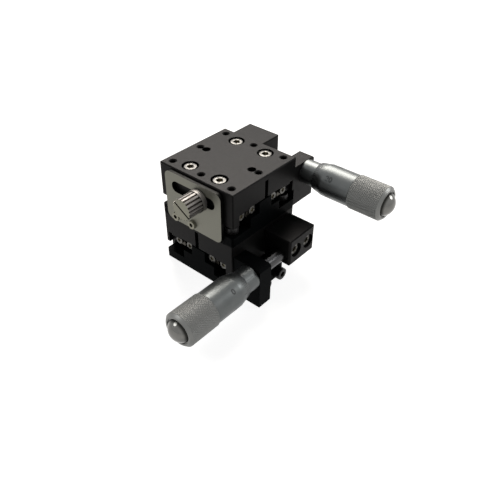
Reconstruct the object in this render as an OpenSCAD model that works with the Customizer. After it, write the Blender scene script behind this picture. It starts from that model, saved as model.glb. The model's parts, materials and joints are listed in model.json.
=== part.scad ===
// Two-axis translation stage: two crossed-roller units, each pushed by a micrometer head.
// A unit is drawn with its travel along Y, its underside on Z = 0, its micrometer on the +X
// side and its lock plate on the -X side. The upper unit is the same unit, a quarter turn on.

/* [Unit] */
// Side of the square base flange, and length of the table along its travel
plate_size = 40; // [39:0.5:60]
// Thickness of the base flange
flange_h = 4.2; // [3.9:0.1:6]
// Open height between the flange and the table
gap_h = 4.3; // [4:0.1:8]
// Height of the table
table_h = 15.8; // [15.5:0.1:30]
// Rounding of the flange's corners
flange_corner_r = 1; // [0.4:0.1:3]
// Chamfer along the table's edges
table_chamfer = 0.4; // [0.1:0.1:0.8]
// Travel of each table, each way from the middle
travel = 6.5; // [1:0.5:6.5]

/* [Rails] */
// Width of the rib between the inner rails
rib_w = 7.6; // [7:0.1:9]
// Width of a rail
rail_w = 5.6; // [5.2:0.1:5.8]
// Height of a rail
rail_h = 5; // [4.6:0.1:5.4]
// Gap between an inner and an outer rail
rail_gap = 1; // [0.9:0.1:1.2]
// Distance from the table's end face to a rail's end
end_relief = 2.5; // [2:0.1:3]
// Diameter of a crossed roller
roller_d = 2; // [1.8:0.1:2.2]
// Length of a crossed roller
roller_len = 1.8; // [1.5:0.1:2]
// Clear space between a roller and its groove
roller_clear = 0.2; // [0.1:0.05:0.3]
// Number of rollers in a cage
roller_count = 7; // [3:1:7]
// Spacing of the rollers
roller_pitch = 3.6; // [3:0.1:3.8]
// Thickness of the roller cage
cage_t = 0.6; // [0.4:0.1:0.7]
// Height of the roller cage
cage_h = 4.2; // [3.6:0.1:4.4]

/* [Preload reliefs] */
// Width of a relief pocket beside the preloaded rails
relief_w = 2; // [1:0.1:2.2]
// Depth of a relief pocket into the table's end
relief_depth = 2.2; // [1.5:0.1:2.4]
// Height of the upright pocket above the rib
relief_h = 8; // [3:0.1:8.4]
// Distance of the upright pocket from the centre line
relief_offset = 0.4; // [0:0.1:2]

/* [Fixing holes] */
// Distance of the corner and mid-edge holes from the plate's edge
hole_inset = 4; // [3.5:0.1:4.5]
// Pitch of the two plain holes on the centre line
spring_hole_pitch = 25; // [24:0.1:25]
// Diameter of the plain holes on the centre line
spring_hole_d = 3.6; // [3:0.1:3.6]
// Diameter of the base's fixing holes
base_hole_d = 3.4; // [3.2:0.1:3.8]
// Diameter of a free tapped hole
tap_d = 2.5; // [2.4:0.05:2.6]
// Depth of the tapped holes in the table's top
tap_depth = 8; // [5:0.5:8]
// Diameter of a tapped hole's countersunk mouth
tap_mouth_d = 3.5; // [3.1:0.1:3.8]
// Depth of a tapped hole's countersunk mouth
tap_mouth_h = 0.4; // [0.2:0.05:0.45]

/* [Outer rail screws] */
// Distance of the outer rail screws from the centre line
outer_screw_x = 14; // [13.5:0.1:14.3]
// Spacing of the outer rail screws along a rail
outer_screw_pitch = 16; // [12:0.5:18]
// Diameter of the outer rail screws' counterbores
outer_counterbore_d = 7.1; // [6:0.1:7.4]
// Depth of the outer rail screws' heads below the table's top
outer_head_recess = 0.3; // [0.1:0.1:0.9]

/* [Inner rail screws] */
// Distance of the inner rail screws from a rail's end
inner_screw_inset = 7.5; // [7:0.1:10]
// Depth of the inner rail screws' heads above the base's underside
inner_head_recess = 0.3; // [0.1:0.1:0.6]
// Diameter of the counterbores under the base
small_counterbore_d = 5; // [4.8:0.1:5.4]

/* [Screws] */
// Thread diameter of the large cap screws
large_d = 3; // [2.6:0.1:3]
// Head diameter of the large cap screws
large_head_d = 5.5; // [5:0.1:5.6]
// Head height of the large cap screws
large_head_h = 3; // [2:0.1:3]
// Thread diameter of the small cap screws
small_d = 2.5; // [2:0.1:2.6]
// Head diameter of the small cap screws
small_head_d = 4.5; // [4:0.1:4.6]
// Head height of the small cap screws
small_head_h = 2.5; // [1.5:0.1:2.5]
// Thread diameter of the rail end screws
end_d = 2; // [1.4:0.1:2.2]
// Head diameter of the rail end screws
end_head_d = 3.8; // [3:0.1:4]
// Head height of the rail end screws
end_head_h = 1.1; // [0.8:0.1:1.6]
// Length of the rail end screws' shanks
end_screw_len = 5; // [3:0.1:5.2]
// Radial clearance of a screw in its hole
thread_clear = 0.05; // [0.02:0.01:0.08]

/* [Anvil block] */
// Start of the block, measured back from the unit's middle against the push
block_back = 0.1; // [0:0.1:1]
// Length of the block along the travel
block_len = 17.3; // [16:0.1:20]
// Width of the block, out from the table's side
block_w = 14; // [13:0.1:16]
// Height of the block
block_h = 12.5; // [12:0.1:13.2]
// Rounding of the block's upright edges
block_edge_r = 1.2; // [0.5:0.1:1.6]
// Distance of the block's top below the table's top
block_drop = 1.9; // [1.4:0.1:2.2]
// Spacing of the two block screws
block_screw_pitch = 8.3; // [8:0.1:9]
// Diameter of the block's counterbores
block_counterbore_d = 6.5; // [6:0.1:6.8]
// Depth of the block's counterbores
block_counterbore = 4; // [3.2:0.1:6]
// Diameter of the hardened anvil
anvil_d = 5; // [4:0.1:6]
// Length of the hardened anvil
anvil_len = 1.4; // [1:0.1:1.4]
// Height of the anvil above the block's face
anvil_stand = 0.4; // [0.2:0.1:1]

/* [Micrometer bracket] */
// Distance of the bracket's front face behind the base's end
bracket_inset = 0.6; // [0.5:0.1:1]
// Thickness of the bracket along the spindle
bracket_t = 7.1; // [6:0.1:7.2]
// Width of the bracket, out from the base's side
bracket_w = 13.7; // [13.4:0.1:16]
// Height of the bracket above the micrometer's axis
bracket_crown = 5.3; // [5:0.1:7]
// Chamfer along the bracket's top outer edge
bracket_chamfer = 1; // [0.4:0.1:1.2]
// Thickness of the bracket's foot
foot_t = 7; // [5:0.1:8]
// Height of the bracket's foot
foot_h = 6; // [5.8:0.1:6.6]
// End of the foot, beyond the unit's middle
foot_end = 4; // [3.6:0.1:6]
// Nearer foot screw, beyond the unit's middle
foot_screw_y = 0.7; // [0.5:0.1:0.8]
// Gap between the farther foot screw's head and the bracket
foot_screw_gap = 0.25; // [0.2:0.05:0.5]

/* [Micrometer] */
// Distance of the micrometer's axis from the base's side
mic_out = 8.4; // [8:0.1:8.6]
// Height of the micrometer's axis above the block's underside
mic_rise = 3.9; // [3.4:0.1:6]
// Diameter of the stem in the bracket
stem_d = 8.5; // [8:0.1:8.8]
// Diameter of the graduated sleeve
sleeve_d = 10.6; // [10:0.1:10.7]
// Length of the sleeve beyond the bracket
sleeve_len = 25.6; // [25.2:0.1:27]
// Diameter of the spindle
spindle_d = 6; // [4:0.1:6.4]
// Radial running clearance of the spindle
spindle_clear = 0.05; // [0.02:0.01:0.09]
// Gap between the spindle's tip and the anvil
tip_gap = 0.05; // [0.02:0.01:0.1]
// Outer diameter of the adjusting nut
nut_d = 11.8; // [11.4:0.1:11.9]
// Length of the adjusting nut
nut_len = 3.5; // [2:0.1:3.6]
// Outer diameter of the thimble's smooth part
thimble_d = 14; // [13.8:0.1:14.4]
// Outer diameter of the thimble's grip
grip_d = 14.7; // [14.5:0.1:15]
// Length of the thimble's grip
grip_len = 14.9; // [12:0.1:16]
// Gap left between the thimble and the bracket at full push
thimble_gap = 0.2; // [0.15:0.05:0.5]
// Diameter of the thimble at its bevelled edge
thimble_lip_d = 11.8; // [11.6:0.1:12.4]
// Length of the thimble's bevel
thimble_bevel = 4.9; // [3:0.1:6]
// Length of the thimble
thimble_len = 33.2; // [32.8:0.1:36]
// Clear diameter of the thimble round the sleeve
thimble_bore_d = 11.1; // [11:0.02:11.2]
// Clear diameter of the thimble round the adjusting nut
thimble_wide_d = 12.4; // [12.3:0.1:12.8]
// Length of the narrow bore
thimble_narrow = 8.4; // [6:0.1:8.6]
// Thickness of the thimble's closed end
thimble_wall = 2.8; // [2.4:0.1:4]
// Chamfer round the thimble's end
thimble_end_chamfer = 1.1; // [0.4:0.1:1.4]
// Diameter of the recess in the thimble's end
cap_recess_d = 11; // [10.6:0.1:11.2]
// Depth of the recess in the thimble's end
cap_recess = 0.4; // [0.2:0.1:0.8]
// Diameter of the domed end screw
cap_d = 10.2; // [8:0.1:10.4]
// Height of the domed end screw
cap_h = 3.4; // [2:0.1:4]
// Length of the end screw's shank
cap_shank = 7; // [6:0.1:9]

/* [Lock plate] */
// Thickness of the lock plate
lock_plate_t = 1.5; // [1:0.1:2.5]
// Length of the lock plate along the travel
lock_plate_len = 30.6; // [28:0.1:34]
// Foot of the lock plate above the unit's underside
lock_plate_foot = 0.4; // [0.2:0.1:0.8]
// Distance of the lock plate's top below the table's top
lock_plate_drop = 1; // [0.8:0.1:2]
// Rounding of the lock plate's corners
lock_plate_r = 2.8; // [1:0.1:2.8]
// Length of the slot beyond the knob's axis at full travel
slot_spare = 1.8; // [1.8:0.1:2.2]
// Slot in the lock plate the other way, from the unit's middle
slot_aft = 11.5; // [6:0.1:13]
// Height of the slot
slot_h = 5; // [3.6:0.1:5.4]
// Middle of the slot below the table's top
slot_drop = 7.1; // [6.8:0.1:7.4]
// Nearer plate screw, from the unit's middle
plate_screw_y = 0.6; // [0:0.1:1]
// Spacing of the two plate screws
plate_screw_pitch = 9.2; // [8:0.1:10]
// Distance of the plate screws below the flange's top
plate_screw_drop = 1.3; // [1.2:0.1:2]
// Head height of the plate screws
plate_head_h = 1.2; // [0.8:0.1:2]
// Gap between the table's side and the lock plate
table_side_gap = 0.3; // [0.2:0.05:0.4]

/* [Lock knob] */
// Height of the knob's axis below the slot's middle
knob_drop = 0.4; // [0:0.1:0.6]
// Axis of the knob, from the unit's middle towards the thimble
knob_offset = 3.8; // [3.5:0.1:3.9]
// Diameter of the knob
knob_d = 9.2; // [8:0.1:10.4]
// Length of the fluted grip
knob_len = 7.2; // [5:0.1:12]
// Diameter of the smooth collar
collar_d = 9.6; // [7:0.1:10.4]
// Length of the smooth collar
collar_len = 2.2; // [0.8:0.1:2.5]
// Gap between the slackened collar and the plate
collar_gap = 0.3; // [0.2:0.05:0.4]
// Number of flutes round the grip
flute_count = 18; // [8:1:20]
// Diameter of a flute
flute_d = 0.8; // [0.6:0.1:1.2]
// Width of the screwdriver slot
driver_slot_w = 0.8; // [0.6:0.1:1.4]
// Depth of the screwdriver slot
driver_slot_depth = 1.2; // [0.6:0.1:2]
// Turn of the screwdriver slot away from level
driver_slot_turn = 32; // [0:1:90]
// Reach of the knob's thread into the table
knob_reach = 6; // [3:0.1:7]

/* [Return spring] */
// Diameter of the spring pins
pin_d = 2; // [1.6:0.1:2.2]
// Spring pin in the table, beyond the unit's middle
table_pin_y = 9; // [8.8:0.1:9.2]
// Outer diameter of the spring
spring_d = 3.2; // [2.6:0.1:3.4]
// Diameter of the spring's wire
wire_d = 0.5; // [0.4:0.05:0.6]
// Width of the spring channel in the rib
channel_w = 4.4; // [4:0.1:4.8]
// Depth of the spring channel
channel_depth = 4.4; // [4:0.1:5]

/* [Hidden] */
$fn = 48;
// Small overlap that keeps cuts open
eps = 0.01;
// Clearance that stops pieces of one body from sharing a curved face
seat_clear = 0.02;
// Room over the rib and the inner rails
ceiling_clear = 0.7;
// Distance of the pedestal's side behind an inner rail's
pedestal_inset = 0.3;
// Room between the bracket's land on the base and the table's underside
land_clear = 1;
// Room above and below a roller in its cage
pocket_clear = 0.1;
// Hex sockets, as a share of the thread diameter
hex_share = 0.83;
// Floor of a hex socket, as a share of the head's height
socket_share = 0.4;

half = plate_size / 2;
hole_pitch = plate_size - 2 * hole_inset;
table_half_w = half - table_side_gap;
unit_h = flange_h + gap_h + table_h;
rail_z = flange_h + gap_h;
rail_top = rail_z + rail_h;
rail_mid_z = rail_z + rail_h / 2;
rail_len = plate_size - 2 * end_relief;
inner_screw_pitch = rail_len - 2 * inner_screw_inset;
inner_x = rib_w / 2;
roller_x = inner_x + rail_w + rail_gap / 2;
outer_x = inner_x + rail_w + rail_gap;
cavity_half_w = outer_x + rail_w;
inner_mid_x = inner_x + rail_w / 2;
outer_mid_x = outer_x + rail_w / 2;
ceiling_z = rail_top + ceiling_clear;
outer_seat_z = unit_h - large_head_h - outer_head_recess;
groove_side = roller_d + 2 * roller_clear;
cage_len = roller_pitch * roller_count + roller_d;
pocket_half_h = (roller_d + roller_len) * sqrt(2) / 4 + pocket_clear;

block_out = table_half_w + block_w;
block_bottom = unit_h - block_drop - block_h;
block_screw_z = block_bottom + block_h / 2;
block_screw_y = block_len / 2 - block_back;
tip_t = block_back + anvil_stand + tip_gap;
mic_x = half + mic_out;
mic_z = block_bottom + mic_rise;
bracket_h = mic_z + bracket_crown;
bracket_front = half - bracket_inset;
bracket_back = bracket_front - bracket_t;
foot_screw_z = foot_h / 2;
far_foot_screw_y = foot_screw_gap + large_head_d / 2 - bracket_back;
land_h = rail_z - land_clear;
sleeve_end = bracket_front + sleeve_len;
thimble_front = bracket_front + travel + thimble_gap;
thimble_end = thimble_front + thimble_len;
thimble_inner_end = thimble_end - thimble_wall;
cap_seat = thimble_end - cap_recess;
dome_r = (pow(cap_d / 2, 2) + pow(cap_h, 2)) / (2 * cap_h);

lock_plate_h = unit_h - lock_plate_foot - lock_plate_drop;
slot_fore = knob_offset + travel + slot_spare;
slot_z = unit_h - slot_drop;
knob_z = slot_z - knob_drop;
plate_face = half + lock_plate_t;
collar_face = plate_face + collar_gap;
grip_start = collar_face + collar_len;
grip_end = grip_start + knob_len;
plate_screw_z = flange_h - plate_screw_drop;
plate_screw_ys = [plate_screw_y, plate_screw_y + plate_screw_pitch];

channel_floor = rail_top - channel_depth;
spring_z = channel_floor + channel_depth / 2;
base_pin_y = -spring_hole_pitch / 2;
loop_r = pin_d / 2 + wire_d;
channel_end = table_pin_y + travel + loop_r + wire_d / 2;

black = [0.13, 0.13, 0.14];
rail_steel = [0.32, 0.32, 0.33];
screw_steel = [0.80, 0.79, 0.76];
dark_steel = [0.16, 0.16, 0.17];
plate_steel = [0.58, 0.58, 0.53];
nickel = [0.78, 0.76, 0.72];
satin_chrome = [0.58, 0.61, 0.62];
brass = [0.72, 0.58, 0.30];

// Placing helpers

// The upper unit stands on the lower table, a quarter turn on
module upper() {
    translate([0, 0, unit_h]) rotate([0, 0, 90]) children();
}

// Local Z runs along the micrometer, away from the anvil
module on_micrometer() {
    translate([mic_x, 0, mic_z]) rotate([90, 0, 0]) children();
}

// Local Z runs out of the lock plate, along the knob's axis
module on_knob() {
    translate([0, -knob_offset, knob_z]) rotate([0, -90, 0]) children();
}

// Local Z runs towards the micrometer side
module facing_side(y, z) {
    translate([0, y, z]) rotate([0, 90, 0]) children();
}

// Children at the four corners of a rectangle, or the two ends of a line
module corners(pitch_x, pitch_y) {
    for (x = pitch_x > 0 ? [-pitch_x / 2, pitch_x / 2] : [0])
        for (y = pitch_y > 0 ? [-pitch_y / 2, pitch_y / 2] : [0])
            translate([x, y, 0]) children();
}

// The two screws through the bracket's foot
module foot_screw_places() {
    for (y = [foot_screw_y, far_foot_screw_y])
        facing_side(y, foot_screw_z) children();
}

// The two screws through the anvil block
module block_screw_places() {
    for (y = [-1, 1])
        facing_side(block_screw_y + y * block_screw_pitch / 2, block_screw_z) children();
}

// Shared shapes

// Block between two opposite corners
module span(low, high) {
    translate(low) cube(high - low);
}

// Socket head cap screw: the head stands on Z = 0 and the shank hangs below
module cap_screw(d, head_d, head_h, length) {
    difference() {
        union() {
            cylinder(d = head_d, h = head_h);
            translate([0, 0, -length]) cylinder(d = d - 2 * thread_clear, h = length + eps);
        }
        translate([0, 0, head_h * socket_share])
            cylinder(d = d * hex_share / cos(30), h = head_h, $fn = 6);
    }
}

// Plate with rounded corners, from its middle
module rounded_plate(size_x, size_y, r, h) {
    linear_extrude(height = h) {
        square([size_x - 2 * r, size_y], center = true);
        square([size_x, size_y - 2 * r], center = true);
        corners(size_x - 2 * r, size_y - 2 * r) circle(r = r);
    }
}

// Slot with round ends along X, centred on its height
module round_slot(from, to, width) {
    translate([from + width / 2, -width / 2]) square([to - from - width, width]);
    for (x = [from + width / 2, to - width / 2])
        translate([x, 0]) circle(d = width);
}

// Rectangle with its four corners cut off
module chamfered_square(size_x, size_y, cut) {
    x = size_x / 2;
    y = size_y / 2;
    polygon([
        [x - cut, -y], [x, cut - y], [x, y - cut], [x - cut, y],
        [cut - x, y], [-x, y - cut], [-x, cut - y], [cut - x, -y]
    ]);
}

// Box with all its edges chamfered, standing on Z = 0
module chamfered_box(size_x, size_y, size_z, cut) {
    intersection() {
        linear_extrude(height = size_z) chamfered_square(size_x, size_y, cut);
        translate([0, size_y / 2, size_z / 2]) rotate([90, 0, 0])
            linear_extrude(height = size_y) chamfered_square(size_x, size_z, cut);
        translate([-size_x / 2, 0, size_z / 2]) rotate([90, 0, 90])
            linear_extrude(height = size_x) chamfered_square(size_y, size_z, cut);
    }
}

// Square groove on edge between two rails, which the rollers run in
module roller_groove(side) {
    translate([side * roller_x, 0, rail_mid_z]) rotate([0, 45, 0])
        cube([groove_side, plate_size, groove_side], center = true);
}

// Fixed pieces of a unit

module base() {
    color(black) difference() {
        union() {
            rounded_plate(plate_size, plate_size, flange_corner_r, flange_h);
            pedestal_half = inner_x + rail_w - pedestal_inset;
            span([-pedestal_half, -half, flange_h / 2], [pedestal_half, half, rail_z]);
            span([-inner_x, -half, flange_h / 2], [inner_x, half, rail_top]);
            span([0, -bracket_back, flange_h / 2], [half, foot_end, land_h]);
        }
        corners(hole_pitch, hole_pitch)
            translate([0, 0, -eps]) cylinder(d = base_hole_d, h = flange_h + 2 * eps);
        corners(2 * inner_mid_x, inner_screw_pitch) translate([0, 0, -eps]) {
            cylinder(d = small_counterbore_d, h = small_head_h + inner_head_recess + eps);
            cylinder(d = small_d + 2 * thread_clear, h = rail_z + 2 * eps);
        }
        span([-channel_w / 2, base_pin_y - channel_w / 2, channel_floor],
             [channel_w / 2, channel_end, rail_top + eps]);
        translate([0, base_pin_y, flange_h])
            cylinder(d = pin_d + 2 * seat_clear, h = channel_floor - flange_h + eps);
        foot_screw_places()
            translate([0, 0, half - foot_t]) cylinder(d = large_d, h = foot_t + eps);
        for (y = plate_screw_ys)
            facing_side(y, plate_screw_z)
                translate([0, 0, -half - eps]) cylinder(d = end_d, h = end_screw_len + end_d);
    }
}

module inner_rails() {
    color(rail_steel) for (side = [-1, 1]) difference() {
        translate([side * inner_mid_x, 0, rail_mid_z]) cube([rail_w, rail_len, rail_h], center = true);
        roller_groove(side);
        corners(2 * inner_mid_x, inner_screw_pitch)
            translate([0, 0, rail_z - eps]) cylinder(d = small_d, h = rail_h + 2 * eps);
        end_screw_holes(inner_mid_x);
    }
}

module outer_rails() {
    color(rail_steel) for (side = [-1, 1]) difference() {
        translate([side * outer_mid_x, 0, rail_mid_z]) cube([rail_w, rail_len, rail_h], center = true);
        roller_groove(side);
        corners(2 * outer_screw_x, outer_screw_pitch)
            translate([0, 0, rail_z - eps]) cylinder(d = large_d, h = rail_h + 2 * eps);
        end_screw_holes(outer_mid_x);
    }
}

// Ends of the rails, where a screw closes the cage in
module end_screw_places(x) {
    for (side = [-1, 1])
        for (turn = [0, 180])
            translate([side * x, 0, rail_mid_z]) rotate([90, 0, turn])
                translate([0, 0, rail_len / 2]) children();
}

module end_screw_holes(x) {
    end_screw_places(x) translate([0, 0, -end_screw_len - end_d / 2])
        cylinder(d = end_d, h = end_screw_len + end_d);
}

module end_screws(x) {
    color(screw_steel) end_screw_places(x) cap_screw(end_d, end_head_d, end_head_h, end_screw_len);
}

module inner_rail_screws() {
    color(dark_steel) corners(2 * inner_mid_x, inner_screw_pitch)
        translate([0, 0, small_head_h + inner_head_recess]) mirror([0, 0, 1])
            cap_screw(small_d, small_head_d, small_head_h, rail_mid_z - small_head_h);
}

// Places of the rollers in both cages; turned ones lie crossways by turns
module roller_places(turned) {
    for (side = [-1, 1])
        for (i = [0 : roller_count - 1])
            translate([side * roller_x, (i - (roller_count - 1) / 2) * roller_pitch, rail_mid_z])
                rotate([0, turned * (i % 2 == 0 ? 45 : -45), 0]) children();
}

module roller_cages() {
    color(brass) difference() {
        for (side = [-1, 1])
            translate([side * roller_x, 0, rail_mid_z]) cube([cage_t, cage_len, cage_h], center = true);
        roller_places(0) cube([rail_gap, roller_d + roller_clear, 2 * pocket_half_h], center = true);
    }
}

module rollers() {
    color(screw_steel) roller_places(1) cylinder(d = roller_d, h = roller_len, center = true);
}

// Moving table of a unit; preload_side is the side whose rails are preloaded, and corner_d the
// diameter of the corner holes, which are filled where another unit is screwed on
module table(preload_side, corner_d) {
    color(black) difference() {
        translate([0, 0, rail_z]) chamfered_box(2 * table_half_w, plate_size, table_h, table_chamfer);
        span([-cavity_half_w, -half - eps, rail_z - eps], [cavity_half_w, half + eps, rail_top]);
        span([-outer_x, -half - eps, rail_z], [outer_x, half + eps, ceiling_z]);
        table_end_reliefs(preload_side);
        table_top_holes(corner_d);
        block_screw_places()
            translate([0, 0, cavity_half_w - relief_w]) cylinder(d = large_d, h = half);
        on_knob() translate([0, 0, table_half_w - knob_reach - large_d / 2])
            cylinder(d = large_d, h = half);
        translate([0, table_pin_y, rail_top]) cylinder(d = pin_d + 2 * seat_clear, h = pin_d * 2);
    }
}

// Pockets in the table's ends, which let the preloaded side give
module table_end_reliefs(preload_side) {
    for (end = [-1, 1]) {
        translate([preload_side * relief_offset, end * half, ceiling_z + relief_h / 2])
            cube([relief_w, 2 * relief_depth, relief_h + 2 * eps], center = true);
        translate([preload_side * (cavity_half_w + relief_w / 2), end * half, (rail_z + ceiling_z) / 2])
            cube([relief_w + 2 * eps, 2 * relief_depth, ceiling_z - rail_z + 2 * eps], center = true);
    }
}

// Tapped hole down from Z = 0, with a countersunk mouth
module tapped_hole(d) {
    translate([0, 0, -tap_depth]) cylinder(d = d, h = tap_depth + eps);
    translate([0, 0, -tap_mouth_h]) cylinder(d1 = tap_d, d2 = tap_mouth_d + 2 * eps, h = tap_mouth_h + eps);
}

module table_top_holes(corner_d) {
    translate([0, 0, unit_h]) {
        corners(hole_pitch, hole_pitch) tapped_hole(corner_d);
        corners(hole_pitch, 0) tapped_hole(tap_d);
        corners(0, hole_pitch) tapped_hole(tap_d);
    }
    corners(0, spring_hole_pitch)
        translate([0, 0, rail_top]) cylinder(d = spring_hole_d, h = table_h);
    corners(2 * outer_screw_x, outer_screw_pitch) {
        translate([0, 0, outer_seat_z]) cylinder(d = outer_counterbore_d, h = table_h);
        translate([0, 0, rail_z]) cylinder(d = large_d + 2 * thread_clear, h = table_h);
    }
}

module outer_rail_screws() {
    color(screw_steel) corners(2 * outer_screw_x, outer_screw_pitch)
        translate([0, 0, outer_seat_z])
            cap_screw(large_d, large_head_d, large_head_h, outer_seat_z - rail_mid_z + large_d / 2);
}

// Anvil block, which the spindle pushes

module anvil_block() {
    color(black) difference() {
        translate([table_half_w + block_w / 2, block_screw_y, block_bottom]) intersection() {
            chamfered_box(block_w, block_len, block_h, table_chamfer);
            rounded_plate(block_w, block_len, block_edge_r, block_h);
        }
        block_screw_places() {
            cylinder(d = large_d + 2 * thread_clear, h = block_out);
            translate([0, 0, block_out - block_counterbore])
                cylinder(d = block_counterbore_d, h = block_counterbore + eps);
        }
        on_micrometer() translate([0, 0, block_back + anvil_stand - anvil_len])
            cylinder(d = anvil_d + 2 * seat_clear, h = anvil_len);
    }
}

module anvil() {
    color(screw_steel) on_micrometer()
        translate([0, 0, block_back + anvil_stand - anvil_len]) cylinder(d = anvil_d, h = anvil_len);
}

module anvil_block_screws() {
    seat = block_out - block_counterbore;
    color(screw_steel) block_screw_places()
        translate([0, 0, seat])
            cap_screw(large_d, large_head_d, large_head_h, seat - cavity_half_w + relief_w / 2);
}

// Bracket that holds the micrometer on the base

module micrometer_bracket() {
    color(black) difference() {
        union() {
            translate([half, -bracket_back, 0]) rotate([90, 0, 0])
                linear_extrude(height = bracket_t) polygon([
                    [0, 0], [bracket_w, 0], [bracket_w, bracket_h - bracket_chamfer],
                    [bracket_w - bracket_chamfer, bracket_h], [0, bracket_h]
                ]);
            span([half, -bracket_back - eps, 0], [half + foot_t, foot_end, foot_h]);
        }
        on_micrometer() translate([0, 0, bracket_back - eps])
            cylinder(d = stem_d + 2 * seat_clear, h = bracket_t + 2 * eps);
        translate([mic_x, -bracket_front + bracket_t / 2, -eps]) cylinder(d = large_d, h = mic_z);
        foot_screw_places() cylinder(d = large_d + 2 * thread_clear, h = half + bracket_w);
    }
}

module bracket_screws() {
    color(dark_steel) foot_screw_places()
        translate([0, 0, half + foot_t])
            cap_screw(large_d, large_head_d, large_head_h, 2 * foot_t - large_d / 2);
}

module bracket_set_screw() {
    top = mic_z - stem_d / 2 - seat_clear;
    color(dark_steel) translate([mic_x, -bracket_front + bracket_t / 2, 0]) difference() {
        translate([0, 0, large_d / 2]) cylinder(d = large_d - 2 * thread_clear, h = top - large_d / 2);
        cylinder(d = large_d / 2 / cos(30), h = large_d, $fn = 6);
    }
}

// Micrometer head; lengths run along its axis from the unit's middle

module micrometer_sleeve() {
    color(satin_chrome) on_micrometer() difference() {
        union() {
            translate([0, 0, bracket_back]) cylinder(d = stem_d, h = bracket_t + eps);
            translate([0, 0, bracket_front]) cylinder(d = sleeve_d, h = sleeve_len);
        }
        translate([0, 0, bracket_back - eps])
            cylinder(d = spindle_d + 2 * spindle_clear, h = sleeve_end - bracket_back + 2 * eps);
    }
}

module adjusting_nut() {
    color(screw_steel) on_micrometer() translate([0, 0, sleeve_end - nut_len]) difference() {
        cylinder(d = nut_d, h = nut_len);
        translate([0, 0, -eps]) cylinder(d = sleeve_d + 2 * seat_clear, h = nut_len + 2 * eps);
    }
}

module spindle() {
    color(satin_chrome) on_micrometer() difference() {
        translate([0, 0, tip_t]) cylinder(d = spindle_d, h = thimble_inner_end - tip_t);
        translate([0, 0, cap_seat - cap_shank - large_d / 2]) cylinder(d = large_d, h = cap_shank);
    }
}

module thimble() {
    bevel_end = thimble_front + thimble_bevel;
    thimble_grip = thimble_end - grip_len;
    grip_rise = (grip_d - thimble_d) / 2;
    narrow_end = thimble_front + thimble_narrow;
    color(satin_chrome) on_micrometer() rotate_extrude() polygon([
        [thimble_bore_d / 2, thimble_front], [thimble_lip_d / 2, thimble_front],
        [thimble_d / 2, bevel_end], [thimble_d / 2, thimble_grip],
        [grip_d / 2, thimble_grip + grip_rise], [grip_d / 2, thimble_end - thimble_end_chamfer],
        [grip_d / 2 - thimble_end_chamfer, thimble_end], [cap_recess_d / 2, thimble_end],
        [cap_recess_d / 2, cap_seat], [large_d / 2 + thread_clear, cap_seat],
        [large_d / 2 + thread_clear, thimble_inner_end], [thimble_wide_d / 2, thimble_inner_end],
        [thimble_wide_d / 2, narrow_end], [thimble_bore_d / 2, narrow_end]
    ]);
}

module thimble_screw() {
    color(nickel) on_micrometer() translate([0, 0, cap_seat]) {
        intersection() {
            translate([0, 0, cap_h - dome_r]) sphere(r = dome_r);
            cylinder(d = cap_d, h = cap_h);
        }
        translate([0, 0, -cap_shank]) cylinder(d = large_d - 2 * thread_clear, h = cap_shank + eps);
    }
}

// Lock plate on the base's edge, and the knob that clamps it to the table

module lock_plate() {
    color(plate_steel) translate([-half, 0, 0]) rotate([90, 0, -90]) difference() {
        translate([0, lock_plate_foot + lock_plate_h / 2, 0])
            rounded_plate(lock_plate_len, lock_plate_h, lock_plate_r, lock_plate_t);
        translate([0, slot_z, -eps]) linear_extrude(height = lock_plate_t + 2 * eps)
            round_slot(-slot_aft, slot_fore, slot_h);
        for (y = plate_screw_ys)
            translate([-y, plate_screw_z, -eps])
                cylinder(d = end_d + 2 * thread_clear, h = lock_plate_t + 2 * eps);
    }
}

module lock_plate_screws() {
    color(screw_steel) for (y = plate_screw_ys)
        translate([-plate_face, y, plate_screw_z]) rotate([0, -90, 0])
            cap_screw(end_d, end_head_d, plate_head_h, lock_plate_t + end_screw_len);
}

module lock_knob() {
    color(nickel) on_knob() difference() {
        union() {
            translate([0, 0, table_half_w - knob_reach])
                cylinder(d = large_d - 2 * thread_clear, h = knob_reach + collar_face - table_half_w + eps);
            translate([0, 0, collar_face]) cylinder(d = collar_d, h = collar_len + eps);
            translate([0, 0, grip_start]) cylinder(d = knob_d, h = knob_len);
        }
        for (i = [0 : flute_count - 1])
            rotate([0, 0, i * 360 / flute_count]) translate([knob_d / 2, 0, grip_start - eps])
                cylinder(d = flute_d, h = knob_len + 2 * eps);
        translate([0, 0, grip_end]) rotate([0, 0, -driver_slot_turn])
            cube([driver_slot_w, 2 * knob_d, 2 * driver_slot_depth], center = true);
    }
}

// Spring that draws the table back against the spindle

module base_spring_pin() {
    color(screw_steel) translate([0, base_pin_y, flange_h])
        cylinder(d = pin_d, h = rail_top - flange_h - pin_d / 4);
}

module table_spring_pin() {
    color(screw_steel) translate([0, table_pin_y, channel_floor + pin_d / 2])
        cylinder(d = pin_d, h = rail_top + 2 * pin_d - channel_floor - pin_d / 2);
}

module return_spring() {
    coil_len = table_pin_y - base_pin_y - 2 * loop_r;
    color(screw_steel) translate([0, 0, spring_z]) {
        for (y = [base_pin_y, table_pin_y])
            translate([0, y, 0]) rotate_extrude() translate([loop_r, 0]) circle(d = wire_d);
        translate([0, base_pin_y + loop_r, 0]) rotate([-90, 0, 0]) difference() {
            cylinder(d = spring_d, h = coil_len);
            translate([0, 0, wire_d]) cylinder(d = spring_d - 2 * wire_d, h = coil_len - 2 * wire_d);
        }
    }
}

// Screws that hold the upper base on the lower table
module base_screws() {
    color(dark_steel) corners(hole_pitch, hole_pitch) translate([0, 0, flange_h])
        cap_screw(large_d, large_head_d, large_head_h, flange_h + tap_depth - large_d / 2);
}

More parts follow.
